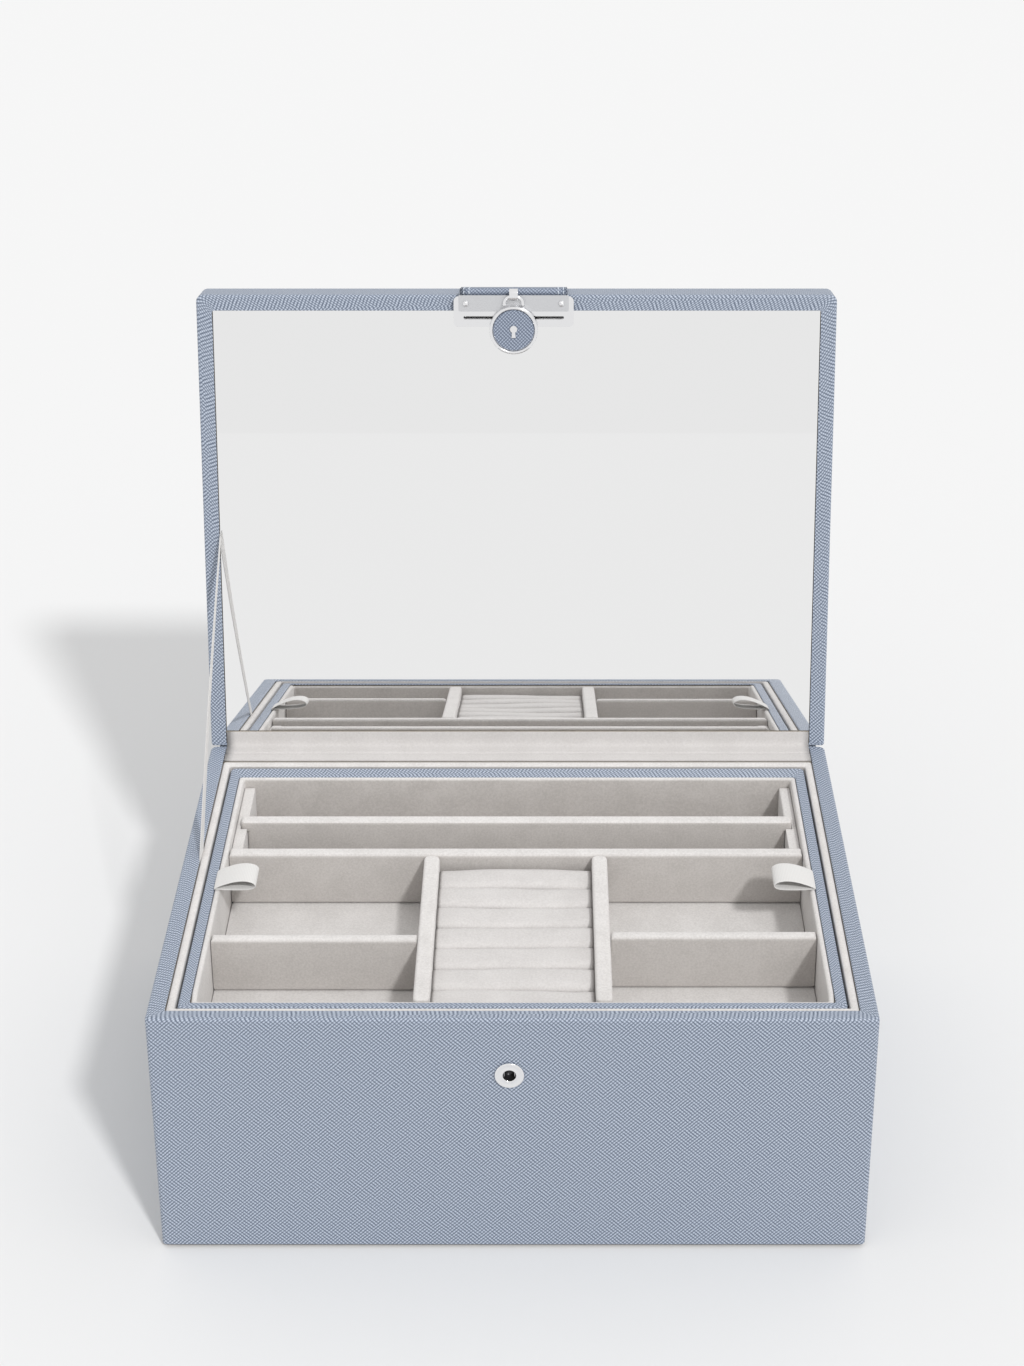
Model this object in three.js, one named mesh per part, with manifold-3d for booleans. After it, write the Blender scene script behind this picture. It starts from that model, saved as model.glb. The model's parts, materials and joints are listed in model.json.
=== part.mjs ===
// A lined jewelry box: a hinged lid with a mirror, a hanging snap clasp with a padlock charm,
// and a divided tray that lifts out. Millimetres. +X is to the right, the front faces -Y, +Z is up,
// and the origin is the middle of the underside. The lid stands open at rest.
import * as THREE from 'three';
import { mergeVertices } from 'three/addons/utils/BufferGeometryUtils.js';
import Module from 'manifold-3d';

const wasm = await Module();
wasm.setup();

// The case
const WIDTH = 300;
const DEPTH = 223;
const HEIGHT = 118; // from the table to the rim
const GAP = 0.25; // between pieces that touch
const SKIN = 0.8; // leatherette
const CORNER = 2;
const TURN = 0.6; // inner corner radius of the leatherette
const MOUTH_DEPTH = 3; // how deep the openings are cut through the leatherette at a rim
const RELIEF = 0.1; // keeps a cut clear of the face beside it
const FELT = 1.2;
const FELT_INSET = 3;
const FOOT = 1.5; // the walls stop this far above the table
const SIDE_BOARD = 6.4;
const FRONT_BOARD = 5.3;
const BACK_BOARD = 12.4; // doubled, to carry the hinge strip
const BASE_BOARD = 4.2;
const SIDE_LINER = 3.4;
const FRONT_LINER = 2;
const BACK_LINER = 4.4;
const LINER_DROP = 0.4; // the liner's top edge below the rim
const PAD = 2;
const LEDGE = 8;

// The lid
const LID_THICKNESS = 20;
const LID_OPEN = 100; // degrees, where the stay ribbon stops it
const SEAM = 0.4; // between lid and rim when shut
const LID_RIM = 7.4;
const LID_BOARD = 3;
const LID_CORNER = 3.5;
const LEAF_LIFT = 0.15; // the velvet leaf on the lid stands in from the rim
const MIRROR_RECESS = 1.2;
const MIRROR_GLASS = 3;
const STRIP_WIDTH = 287;
const OUTER_STRIP_WIDTH = 292;
const OUTER_STRIP = 0.7;
const OUTER_STRIP_REACH = 14;
const CREASE = 1.5; // each leaf of a hinge strip stops this far from the hinge line

// The tray
const TRAY_CLEARANCE = 0.9;
const TRAY_BOTTOM = 85;
const TRAY_TOP = 117;
const TRAY_SKIN = 0.7;
const TRAY_SIDE_BOARD = 3.7;
const TRAY_FRONT_BOARD = 2.7;
const TRAY_BACK_BOARD = 7.5;
const TRAY_BASE = 2.6;
const TRAY_PAD = 1.5;
const TRAY_LINING = 2.4;
const LINING_RISE = 0.2; // the lining's edge stands above the tray's rim
const DIVIDER_TOP = 116;
const REAR_DIVIDER_Y = [44.4, 50.4];
const MIDDLE_DIVIDER_Y = [16.2, 22.6];
const FRONT_DIVIDER_LEFT_Y = [-52, -46.8];
const FRONT_DIVIDER_RIGHT_Y = [-49.8, -44.5];
const COLUMN_CENTRE = 38;
const COLUMN_WIDTH = 7;
const CHEEK_THICKNESS = 5.1;
const CHEEK_TOP = 112.8;
const EAR_REACH = 2.8; // how far the rear divider's ears reach over the cheeks
const EAR_DEPTH = 3;
const ROLL_COUNT = 7;
const ROLL_TOP = 111.5;
const ROLL_CROWN = 4; // height of a roll's rounded top
const ROLL_SLACK = 2.7; // room left behind the last roll
const LOOP_Y = -7.5;
const LOOP_WIDTH = 15;
const LOOP_REACH = 19;
const LOOP_RISE = 7.6;
const LOOP_LIFT = 0.5; // above the tray's rim
const RIBBON = 0.7;

// The stay ribbon, from the left rim up to the lid
const STAY_WIDTH = 8;
const STAY_FOOT_Y = 12;
const STAY_ON_LID = 106; // from the hinge line
const STAY_END_GAP = 1; // the ribbon's free length stops this far from what it's glued to
const STAY_HEAD_LEAN = 1.2;
const STAY_SHIFT = [-0.2, -2, 2.2]; // off the straight line, to stand clear of rim and strips

// The clasp: x across, y up the flap towards the strap, z outward; y = 0 is the lid's front edge
const STRAP_WIDTH = 50;
const STRAP = 1.2;
const STRAP_STANDOFF = 0.9;
const STRAP_ROOT = [2, 14]; // on the lid's front face, from its lower edge
const STRAP_FLAP = 8.5; // how far it runs down behind the plate
const FOLD_OFFSET = 6.2; // the strap bends about a line this far out from the lid's edge, both ways
const BEND_RADIUS = 6;
const BEND_SPREAD = 14; // degrees to each side of the diagonal
const CLASP_X = -1.3; // the clasp and its socket sit a little left of the middle
const FRAME_WIDTH = 56;
const FRAME_Y = [-14.4, -0.3];
const FRAME_SLOT_Y = [-11, -9.3];
const FRAME_SLOT_WIDTH = 46.8;
const FRAME_THICKNESS = 1.5;
const FRAME_CORNER = 2;
const SLOT_CORNER = 0.8;
const PLATE_WIDTH = 51.4;
const PLATE_Y = [-7, 0.6];
const PLATE_THICKNESS = 1;
const PLATE_CORNER = 0.8;
const RIVET_RADIUS = 1.5;
const RIVET_X = 22.3;
const RIVET_Y = -3.3;
const RIVET_RISE = 0.8;
const BAIL_Y = 0.6;
const BAIL_WIDTH = 4;
const BAIL_WALL = 0.8;
const BAIL_SLACK = 0.5; // round the shackle's wire
const PADLOCK_Y = -15.4;
const PADLOCK_RADIUS = 11.3;
const PADLOCK_THICKNESS = 3.4;
const BEZEL = 1.5;
const LOCK_FACE = 2; // the recessed face that carries the inlay
const LOCK_EDGE = 0.4;
const INLAY = 0.6;
const KEYHOLE_PLATE = 0.5;
const KEYHOLE_WIDTH = 2;
const KEYHOLE_FOOT = -3.4;
const KEYHOLE_EYE_Y = 0.6;
const KEYHOLE_EYE = 1.7;
const SHACKLE_RADIUS = 0.7;
const SHACKLE_SPAN = 8.6;
const SHACKLE_SETBACK = 0.2; // in front of the middle of the lock
const SHACKLE_DROP = 2; // from the bail down to where the arch starts
const SHACKLE_PULL = 0.67; // how far past the bail the arch's handles reach
const STUD_RADIUS = 2;
const STUD_TIP = -0.8;
const STUD_NECK = 0.3;
const STUD_BASE = 3.4;
const STUD_BASE_HEIGHT = 0.8;
const STUD_CLEARANCE = 0.8;

// The snap socket on the case front
const SOCKET_RADIUS = 6.2;
const SOCKET_CUP_RADIUS = 4.5;
const SOCKET_BORE_RADIUS = 2.65;
const SOCKET_FLANGE = 0.95;
const SOCKET_DEPTH = 3.1;
const SOCKET_HOLE_RADIUS = 4.8;
const SOCKET_HOLE_DEPTH = 7.2; // half of it falls in front of the wall
const SOCKET_FLOOR = 0.6;
const SOCKET_EDGE = 0.3;

const radians = THREE.MathUtils.degToRad;
const material = (color, roughness, metalness = 0) =>
  new THREE.MeshStandardMaterial({ color, roughness, metalness });
const leatherette = material(0x8f9fb8, 0.6);
const velvet = material(0xe4dfd9, 0.95);
const board = material(0xa9a39a, 0.9);
const felt = material(0xd8d3cc, 0.95);
const silvered = material(0xe8ebee, 0.03, 1);
const chrome = material(0xd8dadc, 0.12, 1);
const satin = material(0x9ea4ad, 0.4, 0.8);

function slab(x, y, z) {
  const geometry = new THREE.BoxGeometry(x[1] - x[0], y[1] - y[0], z[1] - z[0]);
  return geometry.translate((x[0] + x[1]) / 2, (y[0] + y[1]) / 2, (z[0] + z[1]) / 2);
}

function roundedOutline(x, y, radius) {
  const shape = new THREE.Shape();
  shape.moveTo(x[0] + radius, y[0]);
  shape.lineTo(x[1] - radius, y[0]);
  shape.absarc(x[1] - radius, y[0] + radius, radius, -Math.PI / 2, 0);
  shape.lineTo(x[1], y[1] - radius);
  shape.absarc(x[1] - radius, y[1] - radius, radius, 0, Math.PI / 2);
  shape.lineTo(x[0] + radius, y[1]);
  shape.absarc(x[0] + radius, y[1] - radius, radius, Math.PI / 2, Math.PI);
  shape.lineTo(x[0], y[0] + radius);
  shape.absarc(x[0] + radius, y[0] + radius, radius, Math.PI, Math.PI * 1.5);
  return shape;
}

function plate(outline, z, curveSegments = 4) {
  const options = { depth: z[1] - z[0], bevelEnabled: false, curveSegments };
  return new THREE.ExtrudeGeometry(outline, options).translate(0, 0, z[0]);
}

const roundedSlab = (x, y, z, radius) => plate(roundedOutline(x, y, radius), z);

function lathe(profile, segments = 20) {
  const points = profile.map(([radius, height]) => new THREE.Vector2(radius, height));
  return new THREE.LatheGeometry(points, segments).rotateX(Math.PI / 2);
}

function solidOf(geometry) {
  const bare = geometry.clone();
  bare.deleteAttribute('normal');
  bare.deleteAttribute('uv');
  const merged = mergeVertices(bare, 1e-4);
  return new wasm.Manifold(new wasm.Mesh({
    numProp: 3,
    vertProperties: new Float32Array(merged.attributes.position.array),
    triVerts: new Uint32Array(merged.index.array),
  }));
}

function cut(geometry, ...tools) {
  let solid = solidOf(geometry);
  for (const tool of tools) solid = solid.subtract(solidOf(tool));
  const { vertProperties, triVerts } = solid.getMesh();
  const result = new THREE.BufferGeometry();
  result.setAttribute('position', new THREE.BufferAttribute(vertProperties, 3));
  result.setIndex(new THREE.BufferAttribute(triVerts, 1));
  return result;
}

function add(parent, name, geometry, look) {
  const mesh = new THREE.Mesh(geometry, look);
  mesh.name = name;
  parent.add(mesh);
  return mesh;
}

const both = (reach) => [-reach, reach];
const box = new THREE.Group();

// Wall planes, from the outside in
const halfWidth = WIDTH / 2;
const halfDepth = DEPTH / 2;
const boardX = [halfWidth - SKIN - GAP - SIDE_BOARD, halfWidth - SKIN - GAP];
const frontBoardY = [-halfDepth + SKIN + GAP, -halfDepth + SKIN + GAP + FRONT_BOARD];
const backBoardY = [halfDepth - SKIN - GAP - BACK_BOARD, halfDepth - SKIN - GAP];
const linerX = boardX[0] - GAP;
const linerY = [frontBoardY[1] + GAP, backBoardY[0] - GAP];
const wellX = linerX - SIDE_LINER;
const wellY = [linerY[0] + FRONT_LINER, linerY[1] - BACK_LINER];
const boardZ = [FOOT, HEIGHT - SKIN - GAP];
const linerBottom = FOOT + BASE_BOARD + GAP;
const padTop = linerBottom + PAD;
const socketZ = HEIGHT + SEAM - 2 * FOLD_OFFSET + PADLOCK_Y;

function makeCase() {
  const socketHole = new THREE.CylinderGeometry(SOCKET_HOLE_RADIUS, SOCKET_HOLE_RADIUS, SOCKET_HOLE_DEPTH, 20);
  const pocket = socketHole.translate(CLASP_X, -halfDepth, socketZ);

  add(box, 'base_felt', slab(both(halfWidth - FELT_INSET), both(halfDepth - FELT_INSET), [0, FELT]), felt);
  add(box, 'case_base', slab(both(linerX), linerY, [FOOT, FOOT + BASE_BOARD]), board);
  const frontBoard = slab(both(linerX), frontBoardY, boardZ);
  add(box, 'case_front', cut(frontBoard, pocket), board);
  add(box, 'case_back', slab(both(linerX), backBoardY, boardZ), board);
  const sideY = both(halfDepth - SKIN - GAP);
  add(box, 'case_right', slab(boardX, sideY, boardZ), board);
  add(box, 'case_left', slab([-boardX[1], -boardX[0]], sideY, boardZ), board);

  // The leatherette covers the walls and turns over the rim; the hinge strip takes its place at the back
  const outside = roundedSlab(both(halfWidth), both(halfDepth), [FOOT, HEIGHT], CORNER);
  const inside = roundedSlab(both(halfWidth - SKIN), both(halfDepth - SKIN), [0, HEIGHT - SKIN], TURN);
  const mouthZ = [HEIGHT - MOUTH_DEPTH, HEIGHT + 1];
  const mouth = slab(both(boardX[0] - RELIEF), [frontBoardY[1] - RELIEF, backBoardY[0]], mouthZ);
  const stripY = [backBoardY[0] - 1, halfDepth - SKIN];
  const stripSeat = slab(both(STRIP_WIDTH / 2 + GAP), stripY, mouthZ);
  add(box, 'case_wrap', cut(outside, inside, mouth, stripSeat, pocket), leatherette);

  const linerZ = [linerBottom, HEIGHT - LINER_DROP];
  const linerRing = slab(both(linerX), linerY, linerZ);
  const well = slab(both(wellX), wellY, [0, HEIGHT]);
  add(box, 'case_liner', cut(linerRing, well), velvet);
  const padX = both(wellX - GAP);
  const padY = [wellY[0] + GAP, wellY[1] - GAP];
  add(box, 'floor_pad', slab(padX, padY, [linerBottom, padTop]), velvet);
  const ledgeZ = [padTop + GAP, TRAY_BOTTOM - GAP];
  add(box, 'ledge_right', slab([padX[1] - LEDGE, padX[1]], padY, ledgeZ), velvet);
  add(box, 'ledge_left', slab([padX[0], padX[0] + LEDGE], padY, ledgeZ), velvet);

  const leafZ = [HEIGHT - SKIN, HEIGHT + RELIEF];
  const leafY = [backBoardY[0] - GAP, halfDepth - SKIN - GAP];
  add(box, 'hinge_strip_case', slab(both(STRIP_WIDTH / 2), leafY, leafZ), velvet);
  const outerY = [halfDepth + GAP, halfDepth + GAP + OUTER_STRIP];
  const outerZ = [HEIGHT - OUTER_STRIP_REACH, HEIGHT - CREASE];
  add(box, 'outer_strip_case', slab(both(OUTER_STRIP_WIDTH / 2), outerY, outerZ), leatherette);

  // Flange outside, cup in the pocket, bore for the stud
  const cupTop = SOCKET_DEPTH + GAP;
  const socket = lathe([
    [0, 0],
    [SOCKET_CUP_RADIUS, 0],
    [SOCKET_CUP_RADIUS, cupTop],
    [SOCKET_RADIUS - SOCKET_EDGE, cupTop],
    [SOCKET_RADIUS, cupTop + SOCKET_FLANGE / 2],
    [SOCKET_RADIUS - 2 * SOCKET_EDGE, cupTop + SOCKET_FLANGE],
    [SOCKET_BORE_RADIUS, cupTop + SOCKET_FLANGE],
    [SOCKET_BORE_RADIUS, SOCKET_FLOOR],
    [0, SOCKET_FLOOR],
  ]);
  const socketMesh = add(box, 'snap_socket', socket, chrome);
  socketMesh.rotation.x = Math.PI / 2;
  socketMesh.position.set(CLASP_X, -halfDepth - GAP + cupTop, socketZ);
}

function makeStay() {
  // Its flat faces look sideways
  const lift = radians(LID_OPEN);
  const foot = new THREE.Vector2(STAY_FOOT_Y, HEIGHT + STAY_END_GAP);
  const head = new THREE.Vector2(
    halfDepth - STAY_ON_LID * Math.cos(lift) - STAY_HEAD_LEAN,
    HEIGHT + STAY_ON_LID * Math.sin(lift),
  );
  const along = head.clone().sub(foot);
  const ribbon = new THREE.BoxGeometry(RIBBON, along.length() - 2 * STAY_END_GAP, STAY_WIDTH);
  const mesh = add(box, 'stay_ribbon', ribbon, velvet);
  mesh.rotation.x = along.angle();
  const middle = foot.add(head).multiplyScalar(0.5);
  mesh.position.set(-linerX + STAY_SHIFT[0], middle.x + STAY_SHIFT[1], middle.y + STAY_SHIFT[2]);
}

function makeTray() {
  const outerX = wellX - TRAY_CLEARANCE;
  const outerY = [wellY[0] + TRAY_CLEARANCE, wellY[1] - TRAY_CLEARANCE];
  const edge = TRAY_SKIN + GAP;
  const sideX = [outerX - edge - TRAY_SIDE_BOARD, outerX - edge];
  const frontY = [outerY[0] + edge, outerY[0] + edge + TRAY_FRONT_BOARD];
  const backY = [outerY[1] - edge - TRAY_BACK_BOARD, outerY[1] - edge];
  const liningX = sideX[0] - GAP;
  const liningY = [frontY[1] + GAP, backY[0] - GAP];
  const roomX = liningX - TRAY_LINING;
  const roomY = [liningY[0] + TRAY_LINING, liningY[1] - TRAY_LINING];
  const wallZ = [TRAY_BOTTOM, TRAY_TOP - edge];
  const padZ = TRAY_BOTTOM + TRAY_BASE + GAP;
  const standZ = padZ + TRAY_PAD + GAP;
  const upright = [standZ, DIVIDER_TOP];

  add(box, 'tray_base', slab(both(liningX), liningY, [TRAY_BOTTOM, TRAY_BOTTOM + TRAY_BASE]), board);
  add(box, 'tray_front', slab(both(liningX), frontY, wallZ), board);
  add(box, 'tray_back', slab(both(liningX), backY, wallZ), board);
  const sideY = [frontY[0], backY[1]];
  add(box, 'tray_right', slab(sideX, sideY, wallZ), board);
  add(box, 'tray_left', slab([-sideX[1], -sideX[0]], sideY, wallZ), board);

  const outside = roundedSlab(both(outerX), outerY, [TRAY_BOTTOM, TRAY_TOP], CORNER);
  const insideY = [outerY[0] + TRAY_SKIN, outerY[1] - TRAY_SKIN];
  const inside = roundedSlab(both(outerX - TRAY_SKIN), insideY, [0, TRAY_TOP - TRAY_SKIN], TURN);
  const mouthY = [frontY[1] - RELIEF, backY[0] + RELIEF];
  const mouth = slab(both(sideX[0] - RELIEF), mouthY, [TRAY_TOP - MOUTH_DEPTH, TRAY_TOP + 1]);
  add(box, 'tray_wrap', cut(outside, inside, mouth), leatherette);

  const liningRing = slab(both(liningX), liningY, [padZ, TRAY_TOP + LINING_RISE]);
  add(box, 'tray_lining', cut(liningRing, slab(both(roomX), roomY, [0, HEIGHT + 1])), velvet);
  const floorX = both(roomX - GAP);
  const floorY = [roomY[0] + GAP, roomY[1] - GAP];
  add(box, 'tray_floor', slab(floorX, floorY, [padZ, padZ + TRAY_PAD]), velvet);

  // Two slotted cheeks hold the rear divider by its ears, so that it lifts out
  add(box, 'middle_divider', slab(floorX, MIDDLE_DIVIDER_Y, upright), velvet);
  const cheekX = [floorX[1] - CHEEK_THICKNESS, floorX[1]];
  const cheekY = [MIDDLE_DIVIDER_Y[1] + GAP, floorY[1]];
  const notchY = [REAR_DIVIDER_Y[0] - GAP, REAR_DIVIDER_Y[1] + GAP];
  const notchZ = [CHEEK_TOP - EAR_DEPTH, CHEEK_TOP + 1];
  for (const [name, side] of [['cheek_right', 1], ['cheek_left', -1]]) {
    const x = [cheekX[0] * side, cheekX[1] * side].sort((a, b) => a - b);
    const notch = [(cheekX[0] - 1) * side, (cheekX[0] + EAR_REACH + GAP) * side].sort((a, b) => a - b);
    const cheek = slab(x, cheekY, [standZ, CHEEK_TOP]);
    add(box, name, cut(cheek, slab(notch, notchY, notchZ)), velvet);
  }
  const bodyX = cheekX[0] - GAP;
  const earX = cheekX[0] + EAR_REACH;
  const earZ = CHEEK_TOP - EAR_DEPTH + GAP;
  const outline = new THREE.Shape([
    new THREE.Vector2(-bodyX, standZ),
    new THREE.Vector2(bodyX, standZ),
    new THREE.Vector2(bodyX, earZ),
    new THREE.Vector2(earX, earZ),
    new THREE.Vector2(earX, DIVIDER_TOP),
    new THREE.Vector2(-earX, DIVIDER_TOP),
    new THREE.Vector2(-earX, earZ),
    new THREE.Vector2(-bodyX, earZ),
  ]);
  const rearDivider = plate(outline, [-REAR_DIVIDER_Y[1], -REAR_DIVIDER_Y[0]]).rotateX(Math.PI / 2);
  add(box, 'rear_divider', rearDivider, velvet);

  const columnX = [COLUMN_CENTRE - COLUMN_WIDTH / 2, COLUMN_CENTRE + COLUMN_WIDTH / 2];
  const columnY = [floorY[0], MIDDLE_DIVIDER_Y[0] - GAP];
  add(box, 'column_right', slab(columnX, columnY, upright), velvet);
  add(box, 'column_left', slab([-columnX[1], -columnX[0]], columnY, upright), velvet);
  const bay = [columnX[1] + GAP, floorX[1]];
  add(box, 'front_divider_right', slab(bay, FRONT_DIVIDER_RIGHT_Y, upright), velvet);
  add(box, 'front_divider_left', slab([-bay[1], -bay[0]], FRONT_DIVIDER_LEFT_Y, upright), velvet);

  // Padded rolls side by side between the columns, with a ring slot between each two
  const rollX = both(columnX[0] - GAP);
  const pitch = (columnY[1] - ROLL_SLACK - columnY[0]) / ROLL_COUNT;
  const rollHalf = pitch / 2 - GAP / 2;
  const crown = ROLL_TOP - standZ;
  for (let i = 0; i < ROLL_COUNT; i += 1) {
    const side = new THREE.Shape();
    side.moveTo(-rollHalf, 0);
    side.lineTo(rollHalf, 0);
    side.lineTo(rollHalf, crown - ROLL_CROWN);
    side.absellipse(0, crown - ROLL_CROWN, rollHalf, ROLL_CROWN, 0, Math.PI);
    const roll = plate(side, rollX, 6).rotateX(Math.PI / 2).rotateZ(Math.PI / 2);
    const mesh = add(box, `ring_roll_${i + 1}`, roll, velvet);
    mesh.position.set(0, columnY[1] - ROLL_SLACK - pitch * (i + 0.5), standZ);
  }

  for (const [name, side] of [['pull_loop_right', 1], ['pull_loop_left', -1]]) {
    const loop = new THREE.Shape();
    loop.absellipse(0, 0, LOOP_REACH / 2, LOOP_RISE / 2, 0, Math.PI * 2);
    const gap = new THREE.Path();
    gap.absellipse(0, 0, LOOP_REACH / 2 - RIBBON, LOOP_RISE / 2 - RIBBON, 0, Math.PI * 2);
    loop.holes.push(gap);
    const band = plate(loop, both(LOOP_WIDTH / 2), 10).rotateX(Math.PI / 2);
    const mesh = add(box, name, band, velvet);
    mesh.position.set(side * (liningX - LOOP_REACH / 2), LOOP_Y, TRAY_TOP + LOOP_LIFT + LOOP_RISE / 2);
  }
}

// The lid is laid out shut, in the case's own coordinates, and turned open about the hinge line
const lid = new THREE.Group();
const hinge = new THREE.Group();
hinge.position.set(0, halfDepth, HEIGHT);
hinge.rotation.x = -radians(LID_OPEN);
lid.position.set(0, -halfDepth, -HEIGHT);
hinge.add(lid);
box.add(hinge);

function makeLid() {
  const low = HEIGHT + SEAM;
  const high = low + LID_THICKNESS;
  const rimX = halfWidth - LID_RIM;
  const rimY = halfDepth - LID_RIM;

  // The leatherette covers the top and the edges and turns under the rim
  const outside = roundedSlab(both(halfWidth), both(halfDepth), [low, high], LID_CORNER);
  const insideX = both(halfWidth - SKIN);
  const insideY = both(halfDepth - SKIN);
  const inside = roundedSlab(insideX, insideY, [low + SKIN, high - SKIN], LID_CORNER - SKIN);
  const mouthZ = [low - 1, low + MOUTH_DEPTH];
  const mouth = slab(both(rimX), both(rimY), mouthZ);
  const stripSeat = slab(both(STRIP_WIDTH / 2 + GAP), [rimY - 1, halfDepth - SKIN], mouthZ);
  add(lid, 'lid_wrap', cut(outside, inside, mouth, stripSeat), leatherette);

  const panelZ = [high - SKIN - GAP - LID_BOARD, high - SKIN - GAP];
  const panelX = both(halfWidth - SKIN - GAP);
  const panelY = both(halfDepth - SKIN - GAP);
  add(lid, 'lid_panel', roundedSlab(panelX, panelY, panelZ, LID_CORNER - SKIN), board);
  const frameZ = [low + SKIN + GAP, panelZ[0] - GAP];
  const ring = roundedSlab(panelX, panelY, frameZ, LID_CORNER - SKIN);
  add(lid, 'lid_frame', cut(ring, slab(both(rimX), both(rimY), [low, high])), board);

  const glassX = both(rimX - GAP);
  const glassY = both(rimY - GAP);
  const glassZ = [low + MIRROR_RECESS, low + MIRROR_RECESS + MIRROR_GLASS];
  add(lid, 'mirror', slab(glassX, glassY, glassZ), silvered);
  add(lid, 'mirror_backing', slab(glassX, glassY, [glassZ[1] + GAP, frameZ[1]]), board);

  const leafZ = [low + LEAF_LIFT, low + SKIN];
  const leafY = [rimY, halfDepth - CREASE];
  add(lid, 'hinge_strip_lid', slab(both(STRIP_WIDTH / 2), leafY, leafZ), velvet);
  const outerY = [halfDepth + GAP, halfDepth + GAP + OUTER_STRIP];
  const outerZ = [HEIGHT + CREASE, HEIGHT + OUTER_STRIP_REACH];
  add(lid, 'outer_strip_lid', slab(both(OUTER_STRIP_WIDTH / 2), outerY, outerZ), leatherette);

  const rootY = [-halfDepth - GAP - STRAP, -halfDepth - GAP];
  const rootZ = [low + STRAP_ROOT[0], low + STRAP_ROOT[1]];
  add(lid, 'strap_root', slab(both(STRAP_WIDTH / 2), rootY, rootZ), leatherette).position.x = CLASP_X;
}

function makeClasp() {
  // The flap lies along the lid's inner face at rest: its back is towards the mirror
  const flap = new THREE.Group();
  flap.position.set(CLASP_X, -halfDepth, HEIGHT + SEAM);
  flap.rotation.x = Math.PI;
  lid.add(flap);

  // The bend turns about the fold line, halfway between the lid's edge and the flap
  const bend = new THREE.Shape();
  const spread = radians(BEND_SPREAD);
  const middle = radians(-135);
  bend.absarc(0, 0, BEND_RADIUS + STRAP / 2, middle - spread, middle + spread);
  bend.absarc(0, 0, BEND_RADIUS - STRAP / 2, middle + spread, middle - spread, true);
  const bendGeometry = plate(bend, both(STRAP_WIDTH / 2), 3).rotateZ(Math.PI / 2).rotateY(Math.PI / 2);
  const bendMesh = add(flap, 'strap_bend', bendGeometry, leatherette);
  bendMesh.position.set(0, FOLD_OFFSET, FOLD_OFFSET);

  const strapZ = [STRAP_STANDOFF, STRAP_STANDOFF + STRAP];
  const frameZ = [strapZ[1] + GAP, strapZ[1] + GAP + FRAME_THICKNESS];
  const plateZ = [frameZ[1] + GAP, frameZ[1] + GAP + PLATE_THICKNESS];
  add(flap, 'strap_flap', slab(both(STRAP_WIDTH / 2), [-STRAP_FLAP, 0], strapZ), leatherette);
  const frameOutline = roundedOutline(both(FRAME_WIDTH / 2), FRAME_Y, FRAME_CORNER);
  const slot = roundedOutline(both(FRAME_SLOT_WIDTH / 2), FRAME_SLOT_Y, SLOT_CORNER);
  frameOutline.holes.push(slot);
  const notchRadius = STUD_RADIUS + STUD_CLEARANCE;
  const studNotch = new THREE.CylinderGeometry(notchRadius, notchRadius, 20, 16);
  studNotch.rotateX(Math.PI / 2).translate(0, PADLOCK_Y, 0);
  add(flap, 'clasp_frame', cut(plate(frameOutline, frameZ), studNotch), chrome);
  add(flap, 'clasp_plate', roundedSlab(both(PLATE_WIDTH / 2), PLATE_Y, plateZ, PLATE_CORNER), satin);
  for (const [name, side] of [['rivet_right', 1], ['rivet_left', -1]]) {
    const head = lathe([[0, 0], [RIVET_RADIUS, 0], [RIVET_RADIUS * 0.8, RIVET_RISE * 0.6], [0, RIVET_RISE]], 14);
    const mesh = add(flap, name, head, chrome);
    mesh.position.set(side * RIVET_X, RIVET_Y, plateZ[1] + GAP);
  }

  // The padlock hangs by its shackle in a bail, and the stud on its back snaps into the socket
  const lockBack = plateZ[1] + GAP;
  const shackleZ = lockBack + PADLOCK_THICKNESS / 2 + SHACKLE_SETBACK;
  const bail = new THREE.Shape();
  bail.absarc(0, 0, SHACKLE_RADIUS + BAIL_SLACK + BAIL_WALL, 0, Math.PI * 2);
  const bailBore = new THREE.Path();
  bailBore.absarc(0, 0, SHACKLE_RADIUS + BAIL_SLACK, 0, Math.PI * 2);
  bail.holes.push(bailBore);
  const bailMesh = add(flap, 'clasp_bail', plate(bail, both(BAIL_WIDTH / 2), 6).rotateY(Math.PI / 2), chrome);
  bailMesh.position.set(0, BAIL_Y, shackleZ);

  const rim = PADLOCK_RADIUS;
  const lockProfile = [
    [0, 0],
    [rim - LOCK_EDGE, 0],
    [rim, LOCK_EDGE],
    [rim, PADLOCK_THICKNESS - LOCK_EDGE],
    [rim - BEZEL / 2, PADLOCK_THICKNESS],
    [rim - BEZEL, PADLOCK_THICKNESS - LOCK_EDGE],
    [rim - BEZEL, LOCK_FACE],
    [0, LOCK_FACE],
  ];
  const lock = add(flap, 'padlock_case', lathe(lockProfile, 32), chrome);
  lock.position.set(0, PADLOCK_Y, lockBack);
  const inlayRadius = rim - BEZEL - GAP;
  const inlay = new THREE.CylinderGeometry(inlayRadius, inlayRadius, INLAY, 32).rotateX(Math.PI / 2);
  const inlayZ = lockBack + LOCK_FACE + GAP;
  add(flap, 'padlock_inlay', inlay, leatherette).position.set(0, PADLOCK_Y, inlayZ + INLAY / 2);
  const keyhole = new THREE.Shape();
  keyhole.moveTo(-KEYHOLE_WIDTH / 2, KEYHOLE_FOOT);
  keyhole.lineTo(KEYHOLE_WIDTH / 2, KEYHOLE_FOOT);
  keyhole.absarc(0, KEYHOLE_EYE_Y, KEYHOLE_EYE, radians(-65), radians(245));
  const keyholeZ = inlayZ + INLAY + GAP;
  const keyholePlate = plate(keyhole, [0, KEYHOLE_PLATE], 8);
  add(flap, 'padlock_keyhole', keyholePlate, chrome).position.set(0, PADLOCK_Y, keyholeZ);

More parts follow.
